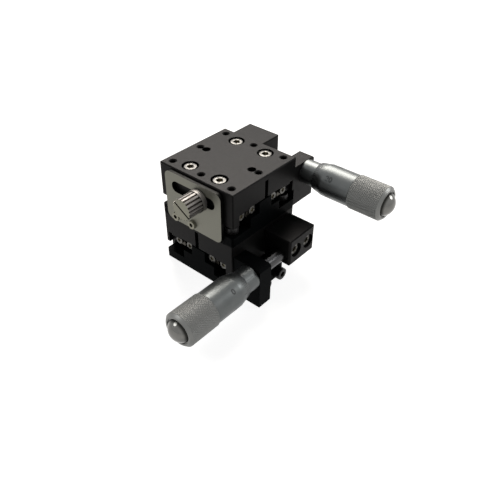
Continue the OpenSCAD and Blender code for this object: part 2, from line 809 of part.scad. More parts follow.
base();  // lower_base
table(-1, large_d);  // lower_table
inner_rails();  // lower_inner_rails
outer_rails();  // lower_outer_rails
roller_cages();  // lower_roller_cages
rollers();  // lower_rollers
inner_rail_screws();  // lower_inner_rail_screws
outer_rail_screws();  // lower_outer_rail_screws
end_screws(inner_mid_x);  // lower_inner_end_screws
end_screws(outer_mid_x);  // lower_outer_end_screws
anvil_block();  // lower_anvil_block
anvil();  // lower_anvil
anvil_block_screws();  // lower_anvil_block_screws
micrometer_bracket();  // lower_micrometer_bracket
bracket_screws();  // lower_bracket_screws
bracket_set_screw();  // lower_bracket_set_screw
micrometer_sleeve();  // lower_micrometer_sleeve
adjusting_nut();  // lower_adjusting_nut
spindle();  // lower_spindle
thimble();  // lower_thimble
thimble_screw();  // lower_thimble_screw
lock_plate();  // lower_lock_plate
lock_plate_screws();  // lower_lock_plate_screws
lock_knob();  // lower_lock_knob
base_spring_pin();  // lower_base_spring_pin
table_spring_pin();  // lower_table_spring_pin
return_spring();  // lower_return_spring
upper() base();  // upper_base
upper() table(1, tap_d);  // upper_table
upper() inner_rails();  // upper_inner_rails
upper() outer_rails();  // upper_outer_rails
upper() roller_cages();  // upper_roller_cages
upper() rollers();  // upper_rollers
upper() inner_rail_screws();  // upper_inner_rail_screws
upper() outer_rail_screws();  // upper_outer_rail_screws
upper() end_screws(inner_mid_x);  // upper_inner_end_screws
upper() end_screws(outer_mid_x);  // upper_outer_end_screws
upper() anvil_block();  // upper_anvil_block
upper() anvil();  // upper_anvil
upper() anvil_block_screws();  // upper_anvil_block_screws
upper() micrometer_bracket();  // upper_micrometer_bracket
upper() bracket_screws();  // upper_bracket_screws
upper() bracket_set_screw();  // upper_bracket_set_screw
upper() micrometer_sleeve();  // upper_micrometer_sleeve
upper() adjusting_nut();  // upper_adjusting_nut
upper() spindle();  // upper_spindle
upper() thimble();  // upper_thimble
upper() thimble_screw();  // upper_thimble_screw
upper() lock_plate();  // upper_lock_plate
upper() lock_plate_screws();  // upper_lock_plate_screws
upper() lock_knob();  // upper_lock_knob
upper() base_spring_pin();  // upper_base_spring_pin
upper() table_spring_pin();  // upper_table_spring_pin
upper() return_spring();  // upper_return_spring
upper() base_screws();  // upper_base_screws
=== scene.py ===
"""Looks of a two-axis crossed-roller stage: knurled micrometer heads with engraved scales, cap screws
with hex sockets, coil springs, satin anodised blocks and a plain studio.

Shapes are worked out in millimetres in the frame of one unit, whose travel is along Y, and are placed
for the lower and the upper unit by matrices. Meshes are made in metres.
"""
import json
import math

import bpy
import numpy as np
from mathutils import Matrix, Vector


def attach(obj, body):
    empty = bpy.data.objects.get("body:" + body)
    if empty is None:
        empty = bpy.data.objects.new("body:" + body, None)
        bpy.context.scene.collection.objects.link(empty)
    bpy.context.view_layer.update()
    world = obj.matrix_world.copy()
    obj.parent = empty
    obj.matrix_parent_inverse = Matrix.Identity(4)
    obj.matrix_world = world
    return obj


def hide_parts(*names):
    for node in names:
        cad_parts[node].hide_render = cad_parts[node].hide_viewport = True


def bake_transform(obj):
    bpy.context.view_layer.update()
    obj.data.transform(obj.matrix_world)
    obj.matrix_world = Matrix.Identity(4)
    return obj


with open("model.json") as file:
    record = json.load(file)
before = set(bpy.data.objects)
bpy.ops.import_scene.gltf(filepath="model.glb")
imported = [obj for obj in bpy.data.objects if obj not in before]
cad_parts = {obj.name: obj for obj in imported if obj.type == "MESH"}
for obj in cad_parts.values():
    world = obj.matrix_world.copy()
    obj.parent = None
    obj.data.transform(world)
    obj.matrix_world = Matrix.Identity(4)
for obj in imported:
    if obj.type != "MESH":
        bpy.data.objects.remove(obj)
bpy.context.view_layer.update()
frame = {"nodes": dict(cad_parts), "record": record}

MM = 0.001
TURN = 2 * math.pi

# Unit
UNIT_H = 24.3
HALF = 20.0
RAIL_MID_Z = 11.0
RAIL_LEN = 35.0
INNER_MID_X = 6.6
OUTER_MID_X = 13.2

# Screws: thread, head diameter, head height
LARGE = (3.0, 5.5, 3.0)
SMALL = (2.5, 4.5, 2.5)
END = (2.0, 3.8, 1.1)
PLATE = (2.0, 3.8, 1.2)
HEX_SHARE, SOCKET_SHARE, CHAMFER_SHARE = 0.83, 0.4, 0.09
HEAD_FLUTES, FLUTE_SHARE = 36, 0.022
SOCKET_MOUTH, MOUTH_DEPTH, DRILL_SHARE, DRILL_DEPTH = 1.16, 0.1, 0.9, 0.12
THREAD_CLEAR, TIP_CHAMFER, FOOT_BREAK = 0.05, 0.3, 0.08
SCREW_COLUMNS = 72

# Screws' places: X, Y and height of the seat, or Y, height and distance out where they sit in a side
OUTER_SCREW = (14, 8, 21.0)
INNER_SCREW = (INNER_MID_X, 10, 2.8)
JOINING_SCREW = (16, 16, 4.2)
BLOCK_SCREW_Y, BLOCK_SCREW_Z, BLOCK_SEAT = (4.4, 12.7), 16.15, 29.7
FOOT_SCREW_Y, FOOT_SCREW_Z, FOOT_SEAT = (0.7, -9.3), 3.0, 27.0
PLATE_SCREW_Y, PLATE_SCREW_Z, PLATE_T = (0.6, 9.8), 2.9, 1.5

# Screws' lengths under the head
OUTER_LEN, INNER_LEN, JOINING_LEN = 11.5, 8.5, 10.7
BLOCK_LEN, FOOT_LEN, END_LEN, PLATE_LEN = 14.7, 12.5, 5.0, 6.5

# Radius of the last ring round a pole
POLE_R = 0.02

# Micrometer, along its axis from the unit's middle
MIC_X, MIC_Z = 28.4, 13.8
BRACKET_BACK, BRACKET_FRONT = 12.3, 19.4
STEM_R, SLEEVE_R, SLEEVE_END = 4.25, 5.3, 45.0
SPINDLE_BORE_R = 3.05
THIMBLE_FRONT, BEVEL_END = 26.1, 31.0
THIMBLE_END, END_CHAMFER = 59.3, 1.1
THIMBLE_R, THIMBLE_LIP_R, GRIP_R = 7.0, 5.9, 7.35
BORE_R, WIDE_R, NARROW_END, INNER_END = 5.55, 6.2, 34.5, 56.5
RECESS_R, RECESS_FLOOR, SHANK_HOLE_R = 5.5, 58.9, 1.55
CAP_R, CAP_H, CAP_SHANK_R, CAP_SHANK = 5.1, 3.4, 1.45, 7.0
GRIP_START, KNURL_START, KNURL_END = 44.4, 44.75, 58.2
KNURL_COUNT, KNURL_DEPTH, KNURL_HELIX = 56, 0.2, math.radians(36)
KNURL_LAND, KNURL_COLUMNS, KNURL_ROWS = 0.35, 10, 12
SLEEVE_COLUMNS, CAP_COLUMNS, DOME_ROWS, DOME_TOP = 128, 96, 28, 0.01

# Broken edges of the micrometer
LIP_BREAK, GRIP_BREAK, RIM_BREAK, RECESS_BREAK = 0.08, 0.05, 0.12, 0.06
STEM_BREAK, SLEEVE_BREAK = 0.2, 0.15

# Scales: lines, numbers, and how far the paint stands over and reaches under the metal
DIVISIONS, LONG_EVERY, NUMBER_EVERY = 50, 5, 10
LONG_LINE, SHORT_LINE, LINE_START, LINE_W = 3.6, 2.2, 0.15, 0.14
NUMBER_ALONG, NUMBER_H, NUMBER_STROKE = 34.4, 1.9, 0.5
DIGIT_ADVANCE, DIGIT_W = 0.9, 0.6
TRAVEL, HALF_MARKS, MARK_W, READING_LINE_W = 6.5, 27, 0.12, 0.1
MARK_FIVE, MARK_ONE, MARK_HALF = 1.9, 1.3, -1.1
SLEEVE_NUMBER_H, SLEEVE_NUMBER_STROKE = 1.3, 0.2
SLEEVE_NUMBER_PAST, SLEEVE_NUMBER_ROUND = 0.5, 2.9
PAINT_OVER, PAINT_UNDER = 0.015, -0.05
ZERO_ANGLE = {"lower": 47, "upper": -2}
READING_ANGLE = {"lower": 47, "upper": 142}

# Lock knob
KNOB_Y, KNOB_Z, KNOB_END = 3.8, 16.8, 31.2
FLUTE_FLOOR, KNOB_R = 4.2, 4.6

# Return spring
BASE_PIN_Y, TABLE_PIN_Y, SPRING_Z = -12.5, 9.0, 11.3
SPRING_R, WIRE_R, LOOP_R, SPRING_TURNS = 1.35, 0.25, 1.5, 26
TURN_POINTS, LOOP_POINTS, HELIX_TRIM, WIRE_COLUMNS = 20, 24, 4, 10
WIRE_SIDE = (0.31, 0.17, 0.94)


# Placing

def shift(x, y, z):
    """Matrix that moves by x, y, z."""
    matrix = np.eye(4)
    matrix[:3, 3] = x, y, z
    return matrix


def turn(axis, degrees):
    """Matrix that turns about a named axis by the right-hand rule."""
    return np.array(Matrix.Rotation(math.radians(degrees), 4, axis))


def placed(points, matrix):
    """Points of any grid shape, moved by a matrix."""
    return points @ matrix[:3, :3].T + matrix[:3, 3]


UNITS = {"lower": np.eye(4), "upper": shift(0, 0, UNIT_H) @ turn("Z", 90)}
FIXED_BODY = {"lower": "foundation", "upper": "middle"}
TABLE_BODY = {"lower": "middle", "upper": "top"}
PLATE_AXIS = {"lower": "X", "upper": "Y"}
MICROMETER = shift(MIC_X, 0, MIC_Z) @ turn("X", 90)


def facing_side(y, z, out):
    """Place on the micrometer side of a unit, with local Z pointing out of it."""
    return shift(out, y, z) @ turn("Y", 90)


def corner_places(x, y, z, flip=False):
    """Four places at plus and minus x and y; flipped ones point down."""
    down = turn("X", 180) if flip else np.eye(4)
    return [shift(i * x, j * y, z) @ down for i in (-1, 1) for j in (-1, 1)]


def rail_end_places(x):
    """Both ends of the two rails at plus and minus x, with local Z pointing out of the rail."""
    return [shift(side * x, 0, RAIL_MID_Z) @ turn("Z", half) @ turn("X", 90) @ shift(0, 0, RAIL_LEN / 2)
            for side in (-1, 1) for half in (0, 180)]


# Surfaces

class Shell:
    """Gathers point grids and their faces, and makes one mesh of them."""

    def __init__(self):
        self.points, self.faces, self.along, self.count = [], [], [], 0

    def add(self, grid, matrix, wrap_rows=False, along=None):
        """Adds a grid of rows and columns whose columns close on themselves. Rows close too where
        wrap_rows is set. A first or last row that shrinks to one point is a pole, and any other open
        end gets a flat cap. Faces point outwards when columns run anticlockwise seen from the last row."""
        rows, columns = grid.shape[:2]
        index = np.arange(rows * columns).reshape(rows, columns) + self.count
        last = rows if wrap_rows else rows - 1
        low, high = index[np.arange(last)], index[(np.arange(last) + 1) % rows]
        quads = np.stack([low, np.roll(low, -1, 1), np.roll(high, -1, 1), high], -1).reshape(-1, 4)
        self.faces += quads.tolist()
        if not wrap_rows:
            self.faces += [index[0][::-1].tolist(), index[-1].tolist()]
        self.points.append(placed(grid, matrix).reshape(-1, 3))
        along = np.zeros(rows * columns) if along is None else np.broadcast_to(
            np.asarray(along)[:, None], (rows, columns)).ravel()
        self.along.append(along)
        self.count += rows * columns

    def piece(self, name, body, slot, material, replaced=(), sharp=35):
        """Makes the mesh, with smooth faces that break at sharp angles, and puts it on its body, if any."""
        mesh = bpy.data.meshes.new(name)
        points = np.concatenate(self.points) * MM
        mesh.from_pydata(points.tolist(), [], self.faces)
        attribute = mesh.attributes.new("along", "FLOAT", "POINT")
        attribute.data.foreach_set("value", np.concatenate(self.along).astype(np.float32))
        mesh.polygons.foreach_set("use_smooth", np.ones(len(mesh.polygons), bool))
        mesh.set_sharp_from_angle(angle=math.radians(sharp))
        mesh.materials.append(material)
        mesh.update()
        piece = bpy.data.objects.new(name, mesh)
        bpy.context.scene.collection.objects.link(piece)
        if body:
            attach(piece, body)
        if replaced:
            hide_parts(*replaced)
        return piece


def ring_angles(columns):
    """Evenly spaced angles round a turn."""
    return TURN * np.arange(columns) / columns


def revolved(heights, radii):
    """Grid of a turned shape: each row is the circle, or other outline, of its radii at its height.
    x = r cos a, y = r sin a, z = height."""
    radii = np.asarray(radii, float)
    angles = ring_angles(radii.shape[1])
    heights = np.broadcast_to(np.asarray(heights, float)[:, None], radii.shape)
    return np.stack([radii * np.cos(angles), radii * np.sin(angles), heights], -1)


def turned(profile, columns):
    """Grid of a shape turned from (height, radius) pairs, each row a plain circle."""
    profile = np.asarray(profile, float)
    return revolved(profile[:, 0], np.repeat(profile[:, 1:], columns, 1))


def cap_screw(size, length):
    """Grid of a socket head cap screw, its head standing on Z = 0, and how far each row lies inside the
    socket. The outline goes from the tip up the shank and the fluted head, over the chamfer, and morphs
    from a circle to a hexagon that sinks into the socket: hexagon radius = apothem / cos(angle from the
    nearest flat's middle)."""
    thread_d, head_d, head_h = size
    shank_r, head_r = thread_d / 2 - THREAD_CLEAR, head_d / 2
    apothem = thread_d * HEX_SHARE / 2
    chamfer = CHAMFER_SHARE * head_r
    floor = head_h * SOCKET_SHARE
    angles = ring_angles(SCREW_COLUMNS)
    hexagon = apothem / np.cos(angles % (TURN / 6) - TURN / 12)
    flutes = 1 - FLUTE_SHARE * (0.5 + 0.5 * np.cos(HEAD_FLUTES * angles))
    plain = np.ones_like(angles)
    rows = [
        (-length, POLE_R * plain), (-length, (shank_r - TIP_CHAMFER) * plain),
        (-length + TIP_CHAMFER, shank_r * plain), (0, shank_r * plain),
        (0, (head_r - FOOT_BREAK) * plain), (FOOT_BREAK, head_r * flutes),
        (head_h - 2.2 * chamfer, head_r * flutes), (head_h - chamfer, head_r * 0.985 * plain),
        (head_h - 0.35 * chamfer, (head_r - 0.35 * chamfer) * plain), (head_h, (head_r - chamfer) * plain),
        (head_h, np.maximum(hexagon, apothem * SOCKET_MOUTH)), (head_h - MOUTH_DEPTH * thread_d / 3, hexagon),
        (floor, hexagon), (floor, DRILL_SHARE * hexagon), (floor - DRILL_DEPTH * thread_d, POLE_R * plain),
    ]
    # how far each row lies inside the socket; the screw finishes paint their socket shade by it
    inside = [0] * 11 + [0.6, 1, 1, 1]
    return revolved([row[0] for row in rows], np.stack([row[1] for row in rows])), inside


def triangle_wave(x):
    """1 at whole numbers, 0 half way between, straight in between."""
    return np.abs(2 * (x - np.floor(x)) - 1)


def thimble():
    """Grid of the thimble, a closed outline turned round the axis. On the grip two families of V grooves
    cross: depth = max(groove(u + v), groove(u - v)), where u counts round the thimble, v along it, and
    v's pitch gives the grooves their helix angle."""
    columns = KNURL_COUNT * KNURL_COLUMNS
    angles = ring_angles(columns)
    pitch_round = TURN * GRIP_R / KNURL_COUNT
    pitch_along = pitch_round / math.tan(KNURL_HELIX)
    grip = np.arange(KNURL_START, KNURL_END, pitch_along / KNURL_ROWS)
    front = [(THIMBLE_FRONT, BORE_R), (THIMBLE_FRONT, THIMBLE_LIP_R - LIP_BREAK),
             (THIMBLE_FRONT + 0.1, THIMBLE_LIP_R), (BEVEL_END, THIMBLE_R), (BEVEL_END + 0.3, THIMBLE_R),
             (GRIP_START - 0.3, THIMBLE_R), (GRIP_START, THIMBLE_R),
             (KNURL_START - GRIP_BREAK, GRIP_R - GRIP_BREAK)]
    rim_r = GRIP_R - END_CHAMFER
    back = [(KNURL_END + GRIP_BREAK, GRIP_R - GRIP_BREAK), (THIMBLE_END - RIM_BREAK, rim_r + RIM_BREAK),
            (THIMBLE_END - 0.03, rim_r), (THIMBLE_END, rim_r - RIM_BREAK),
            (THIMBLE_END, RECESS_R + RECESS_BREAK), (THIMBLE_END - RECESS_BREAK, RECESS_R),
            (RECESS_FLOOR, RECESS_R), (RECESS_FLOOR, SHANK_HOLE_R), (INNER_END, SHANK_HOLE_R),
            (INNER_END, WIDE_R), (NARROW_END, WIDE_R), (NARROW_END, BORE_R)]
    round_count = KNURL_COUNT * angles / TURN
    along_count = (grip[:, None] - KNURL_START) / pitch_along
    groove = np.maximum(triangle_wave(round_count + along_count), triangle_wave(round_count - along_count))
    knurl = GRIP_R - KNURL_DEPTH * np.clip((groove - KNURL_LAND) / (1 - KNURL_LAND), 0, 1)
    heights = np.concatenate([[h for h, _ in front], grip, [h for h, _ in back]])
    plain = np.ones(columns)
    radii = np.concatenate([[r * plain for _, r in front], knurl, [r * plain for _, r in back]])
    return revolved(heights, radii), heights


def swept_tube(path, radius):
    """Grid of a round wire along a path: each row is a circle across the path's direction, p + r (side
    cos a + over sin a), where side is the direction's cross product with a fixed one and over is across
    both."""
    path = np.asarray(path, float)
    ahead = np.gradient(path, axis=0)
    ahead /= np.linalg.norm(ahead, axis=1, keepdims=True)
    side = np.cross(ahead, WIRE_SIDE)
    side /= np.linalg.norm(side, axis=1, keepdims=True)
    over = np.cross(ahead, side)
    angles = ring_angles(WIRE_COLUMNS)
    circle = np.cos(angles)[None, :, None] * side[:, None] + np.sin(angles)[None, :, None] * over[:, None]
    return path[:, None] + radius * circle


def spring_path():
    """Path of the return spring: a loop round one pin, a close helix, and a loop round the other pin.
    Helix: x = R sin(k s), z = R cos(k s), y runs evenly with s."""
    start, end = BASE_PIN_Y + LOOP_R + WIRE_R, TABLE_PIN_Y - LOOP_R - WIRE_R
    s = np.linspace(0, 1, SPRING_TURNS * TURN_POINTS)
    wound = TURN * SPRING_TURNS * s
    helix = np.stack([SPRING_R * np.sin(wound), start + (end - start) * s,
                      SPRING_Z + SPRING_R * np.cos(wound)], 1)
    a = np.linspace(0.25, 1.0, LOOP_POINTS) * TURN
    loop = np.stack([LOOP_R * np.sin(a), LOOP_R * np.cos(a), 0 * a], 1)
    first = loop[::-1] + [0, BASE_PIN_Y, SPRING_Z]
    second = loop * [1, -1, 1] + [0, TABLE_PIN_Y, SPRING_Z]
    return np.concatenate([first[:-1], helix[HELIX_TRIM:-HELIX_TRIM], second[1:]])


# Engraved scales

def arc(cx, cy, rx, ry, start, stop, count=14):
    """Points of an ellipse's arc between two angles in degrees."""
    a = np.radians(np.linspace(start, stop, count))
    return np.stack([cx + rx * np.cos(a), cy + ry * np.sin(a)], 1)


DIGITS = {
    "0": [arc(0.3, 0.5, 0.3, 0.5, 0, 360, 28)],
    "1": [np.array([(0.1, 0.78), (0.36, 1.0), (0.36, 0.0)])],
    "2": [np.concatenate([arc(0.3, 0.72, 0.28, 0.28, 170, -30), [(0.0, 0.0), (0.6, 0.0)]])],
    "3": [np.concatenate([arc(0.28, 0.75, 0.26, 0.25, 150, -80), arc(0.28, 0.26, 0.3, 0.26, 80, -150)])],
    "4": [np.array([(0.45, 0.0), (0.45, 1.0), (0.0, 0.32), (0.62, 0.32)])],
    "5": [np.concatenate([[(0.56, 1.0), (0.1, 1.0), (0.07, 0.56)], arc(0.28, 0.33, 0.31, 0.33, 130, -145)])],
}


def scale_radius(along):
    """Radius of the thimble's outside before the grip: a straight bevel, then a cylinder."""
    share = np.clip((along - THIMBLE_FRONT) / (BEVEL_END - THIMBLE_FRONT), 0, 1)
    return THIMBLE_LIP_R + (THIMBLE_R - THIMBLE_LIP_R) * share


def ribbon(path, width, radius_at):
    """Grid of a paint-filled line on a turned surface. The path gives (along, round) in millimetres; the
    line's four corners lie half its width to each side, just over and just under the surface, and the
    round distance becomes an angle: a = round / radius."""
    path = np.asarray(path, float)
    ahead = np.gradient(path, axis=0)
    ahead /= np.linalg.norm(ahead, axis=1, keepdims=True)
    side = np.stack([-ahead[:, 1], ahead[:, 0]], 1) * width / 2
    corners = []
    for sign, rise in ((-1, PAINT_OVER), (1, PAINT_OVER), (1, PAINT_UNDER), (-1, PAINT_UNDER)):
        spot = path + sign * side
        radius = radius_at(spot[:, 0])
        angle = spot[:, 1] / radius
        height = radius + rise
        corners.append(np.stack([height * np.cos(angle), height * np.sin(angle), spot[:, 0]], 1))
    return np.stack(corners, 1)


def numeral(text, along, round_at, height):
    """Strokes of a number whose line of writing runs along the axis, centred on (along, round). Seen from
    outside, with the axis running right, round distances point down, so heights are taken off."""
    length = height * (DIGIT_ADVANCE * (len(text) - 1) + DIGIT_W)
    strokes = []
    for place, digit in enumerate(text):
        for stroke in DIGITS[digit]:
            x = along - length / 2 + height * (DIGIT_ADVANCE * place + stroke[:, 0])
            y = round_at - height * (stroke[:, 1] - 0.5)
            strokes.append(np.stack([x, y], 1))
    return strokes


def thimble_scale(shell, matrix):
    """Fifty lines round the bevel, longer at every fifth, with a number behind every tenth."""
    for division in range(DIVISIONS):
        angle = TURN * division / DIVISIONS
        here = matrix @ turn("Z", math.degrees(angle))
        end = THIMBLE_FRONT + (LONG_LINE if division % LONG_EVERY == 0 else SHORT_LINE)
        shell.add(ribbon([(THIMBLE_FRONT + LINE_START, 0), (end, 0)], LINE_W, scale_radius), here)
        if division % NUMBER_EVERY == 0:
            for stroke in numeral(str(division), NUMBER_ALONG, 0, NUMBER_H):
                shell.add(ribbon(stroke, NUMBER_STROKE, scale_radius), here)


def sleeve_radius(along):
    """Radius of the sleeve's outside, the same all along."""
    return np.full_like(along, SLEEVE_R)


def sleeve_scale(shell, matrix):
    """Reading line along the sleeve, with a line for each millimetre on one side and for each half
    millimetre on the other, and a number at every fifth millimetre."""
    line = [(BRACKET_FRONT + 0.4, 0), (SLEEVE_END - 5, 0)]
    shell.add(ribbon(line, READING_LINE_W, sleeve_radius), matrix)
    for half_mm in range(HALF_MARKS):
        along = THIMBLE_FRONT - TRAVEL + half_mm / 2
        fifth, whole = half_mm % 10 == 0, half_mm % 2 == 0
        reach = MARK_FIVE if fifth else MARK_ONE if whole else MARK_HALF
        shell.add(ribbon([(along, 0), (along, reach)], MARK_W, sleeve_radius), matrix)
        if fifth:
            for stroke in numeral(str(half_mm // 2), along + SLEEVE_NUMBER_PAST, SLEEVE_NUMBER_ROUND,
                                  SLEEVE_NUMBER_H):
                shell.add(ribbon(stroke, SLEEVE_NUMBER_STROKE, sleeve_radius), matrix)


# Materials

# Colours painted inside screw sockets as painted shade of the recess: one for black oxide and plate screws,
# one for bright stainless screws
SOCKET_PAINTED_SHADE = (0.04, 0.037, 0.029)
STAINLESS_SOCKET_PAINTED_SHADE = (0.2, 0.185, 0.14)
NOISE_ROUGHNESS = 0.55


class Finish:
    """One procedural material: a Principled shader with the node helpers that the finishes share."""

    def __init__(self, name, colour, metallic, roughness, specular=0.5):
        self.material = bpy.data.materials.new(name)
        self.material.use_nodes = True
        self.tree = self.material.node_tree
        self.shader = self.tree.nodes["Principled BSDF"]
        self.shader.inputs["Base Color"].default_value = (*colour, 1)
        self.shader.inputs["Metallic"].default_value = metallic
        self.shader.inputs["Roughness"].default_value = roughness
        self.shader.inputs["Specular IOR Level"].default_value = specular
        self.place = self.node("ShaderNodeTexCoord").outputs["Object"]
        self.normal = None

    def node(self, kind, **values):
        made = self.tree.nodes.new(kind)
        for key, value in values.items():
            setattr(made, key, value)
        return made

    def link(self, start, end):
        self.tree.links.new(start, end)

    def noise(self, scale, stretch=(1, 1, 1), detail=3.0):
        """Noise over the object's own coordinates in metres; scale is in features per metre."""
        mapping = self.node("ShaderNodeMapping")
        mapping.inputs["Scale"].default_value = stretch
        self.link(self.place, mapping.inputs["Vector"])
        noise = self.node("ShaderNodeTexNoise")
        noise.inputs["Scale"].default_value = scale
        noise.inputs["Detail"].default_value = detail
        noise.inputs["Roughness"].default_value = NOISE_ROUGHNESS
        self.link(mapping.outputs["Vector"], noise.inputs["Vector"])
        return noise.outputs["Fac"]

    def rings(self, per_mm):
        """Noise along a turned piece's axis, which gives the fine rings that a lathe leaves."""
        attribute = self.node("ShaderNodeAttribute", attribute_name="along")
        noise = self.node("ShaderNodeTexNoise", noise_dimensions="1D")
        noise.inputs["Scale"].default_value = per_mm
        noise.inputs["Detail"].default_value = 2.0
        self.link(attribute.outputs["Fac"], noise.inputs["W"])
        return noise.outputs["Fac"]

    def along(self, start, stop):
        """0 to 1 as a piece's own measure, kept in its points, goes from start to stop."""
        attribute = self.node("ShaderNodeAttribute", attribute_name="along")
        return self.spread(attribute.outputs["Fac"], 0.0, 1.0, start, stop)

    def facing(self, axis):
        """1 on faces that look along a named axis of the object, 0 on faces across it."""
        own = self.node("ShaderNodeVectorTransform", vector_type="NORMAL", convert_from="WORLD",
                        convert_to="OBJECT")
        self.link(self.node("ShaderNodeNewGeometry").outputs["True Normal"], own.inputs["Vector"])
        split = self.node("ShaderNodeSeparateXYZ")
        self.link(own.outputs["Vector"], split.inputs["Vector"])
        size = self.node("ShaderNodeMath", operation="ABSOLUTE")
        self.link(split.outputs[axis], size.inputs[0])
        return self.spread(size.outputs["Value"], 0.0, 1.0, 0.45, 0.55)

    def spread(self, value, low, high, start=0.3, stop=0.7):
        """Maps a 0 to 1 pattern to a range of numbers."""
        ranged = self.node("ShaderNodeMapRange")
        ranged.inputs["From Min"].default_value = start
        ranged.inputs["From Max"].default_value = stop
        ranged.inputs["To Min"].default_value = low
        ranged.inputs["To Max"].default_value = high
        self.link(value, ranged.inputs["Value"])
        return ranged.outputs["Result"]

    def blend(self, share, first, second):
        """Mixes two colours, or a colour socket and a colour, by a pattern."""
        mix = self.node("ShaderNodeMix", data_type="RGBA")
        for socket, colour in ((mix.inputs["A"], first), (mix.inputs["B"], second)):
            if isinstance(colour, tuple):
                socket.default_value = (*colour, 1)
            else:
                self.link(colour, socket)
        self.link(share, mix.inputs["Factor"])
        return mix.outputs["Result"]

    def colour(self, socket):
        self.link(socket, self.shader.inputs["Base Color"])

    def roughness(self, socket):
        self.link(socket, self.shader.inputs["Roughness"])

    def soften_edges(self, radius_mm):
        """Rounds the sharp edges of a CAD solid in the shading, and returns how near an edge is."""
        bevel = self.node("ShaderNodeBevel", samples=6)
        bevel.inputs["Radius"].default_value = radius_mm * MM
        geometry = self.node("ShaderNodeNewGeometry")
        dot = self.node("ShaderNodeVectorMath", operation="DOT_PRODUCT")
        self.link(bevel.outputs["Normal"], dot.inputs[0])
        self.link(geometry.outputs["True Normal"], dot.inputs[1])
        self.normal = bevel.outputs["Normal"]
        return self.spread(dot.outputs["Value"], 1.0, 0.0, 0.72, 0.98)

    def bump(self, height, strength, distance_mm):
        bump = self.node("ShaderNodeBump")
        bump.inputs["Strength"].default_value = strength
        bump.inputs["Distance"].default_value = distance_mm * MM
        self.link(height, bump.inputs["Height"])
        if self.normal:
            self.link(self.normal, bump.inputs["Normal"])
        self.normal = bump.outputs["Normal"]

    def done(self):
        if self.normal:
            self.link(self.normal, self.shader.inputs["Normal"])
        return self.material


def anodised_black(name, tint, specular):
    """Satin black anodising on blasted aluminium: a fine grain, slow changes of tone, and edges where the
    dye is a little thinner."""
    finish = Finish(name, tint, 0.0, 0.4, specular)
    worn = finish.soften_edges(0.22)
    thick, thin, bare = (tuple(share * part for part in tint) for share in (0.8, 1.2, 3.0))
    tone = finish.blend(finish.noise(90), thick, thin)
    finish.colour(finish.blend(finish.spread(worn, 0.0, 0.2, 0.0, 1.0), tone, bare))
    finish.roughness(finish.spread(finish.noise(700), 0.36, 0.43))
    finish.bump(finish.noise(5200, detail=2.0), 0.22, 0.03)
    return finish.done()


def blackened_rail():
    """Ground rails, blackened, with the grinding marks along both travels."""
    finish = Finish("blackened_rail", (0.05, 0.05, 0.052), 0.7, 0.4)
    worn = finish.soften_edges(0.15)
    marks = finish.noise(900, (1, 1, 12))
    tone = finish.blend(marks, (0.045, 0.041, 0.034), (0.085, 0.077, 0.063))
    finish.colour(finish.blend(finish.spread(worn, 0.0, 0.4, 0.0, 1.0), tone, (0.16, 0.15, 0.13)))
    finish.roughness(finish.spread(marks, 0.34, 0.5))
    finish.bump(marks, 0.1, 0.02)
    return finish.done()


def bright_stainless():
    """Bright stainless screws with faint turning marks and a stain or two."""
    finish = Finish("bright_stainless", (0.1, 0.098, 0.092), 1.0, 0.34)
    tone = finish.blend(finish.spread(finish.noise(420), 0, 1), (0.08, 0.078, 0.073), (0.112, 0.11, 0.103))
    # painted shade: rows inside the socket take their own paler, browner colour
    finish.colour(finish.blend(finish.along(0.0, 1.0), tone, STAINLESS_SOCKET_PAINTED_SHADE))
    finish.roughness(finish.spread(finish.noise(1500), 0.28, 0.42))
    finish.bump(finish.noise(3000), 0.06, 0.02)
    return finish.done()


def plate_screw():
    """Screws in the lock plate's own dull tone."""
    finish = Finish("plate_screw", (0.2, 0.2, 0.17), 0.8, 0.42)
    tone = finish.blend(finish.spread(finish.noise(420), 0, 1), (0.19, 0.185, 0.145), (0.26, 0.254, 0.2))
    # painted shade: rows inside the socket are painted dark
    finish.colour(finish.blend(finish.along(0.0, 1.0), tone, SOCKET_PAINTED_SHADE))
    finish.roughness(finish.spread(finish.noise(1500), 0.36, 0.5))
    finish.bump(finish.noise(3000), 0.06, 0.02)
    return finish.done()


def black_oxide():
    """Black oxide screws, with an oily, uneven sheen."""
    finish = Finish("black_oxide", (0.015, 0.015, 0.016), 0.4, 0.38, 0.3)
    tone = finish.blend(finish.noise(500), (0.010, 0.010, 0.011), (0.026, 0.025, 0.025))
    # painted shade: rows inside the socket take the socket colour
    finish.colour(finish.blend(finish.along(0.0, 1.0), tone, SOCKET_PAINTED_SHADE))
    finish.roughness(finish.spread(finish.noise(1800), 0.3, 0.48))
    finish.bump(finish.noise(3600), 0.1, 0.02)
    return finish.done()


def clamp_plate(unit):
    """Satin plate with a fine grain along its length, and painted shade on its edge faces, which are near
    black. The plate of the lower unit faces X and that of the upper one Y."""
    finish = Finish(f"{unit}_clamp_plate", (0.165, 0.164, 0.138), 1.0, 0.5)
    grain = finish.noise(260, (1, 1, 22), detail=5.0)
    tone = finish.blend(finish.spread(grain, 0, 1), (0.15, 0.149, 0.126), (0.18, 0.178, 0.15))
    # painted shade: faces that don't look along the plate's axis, its edges, are near black
    finish.colour(finish.blend(finish.facing(PLATE_AXIS[unit]), (0.008, 0.008, 0.0075), tone))
    finish.roughness(finish.spread(grain, 0.44, 0.58))
    finish.bump(grain, 0.08, 0.02)
    return finish.done()


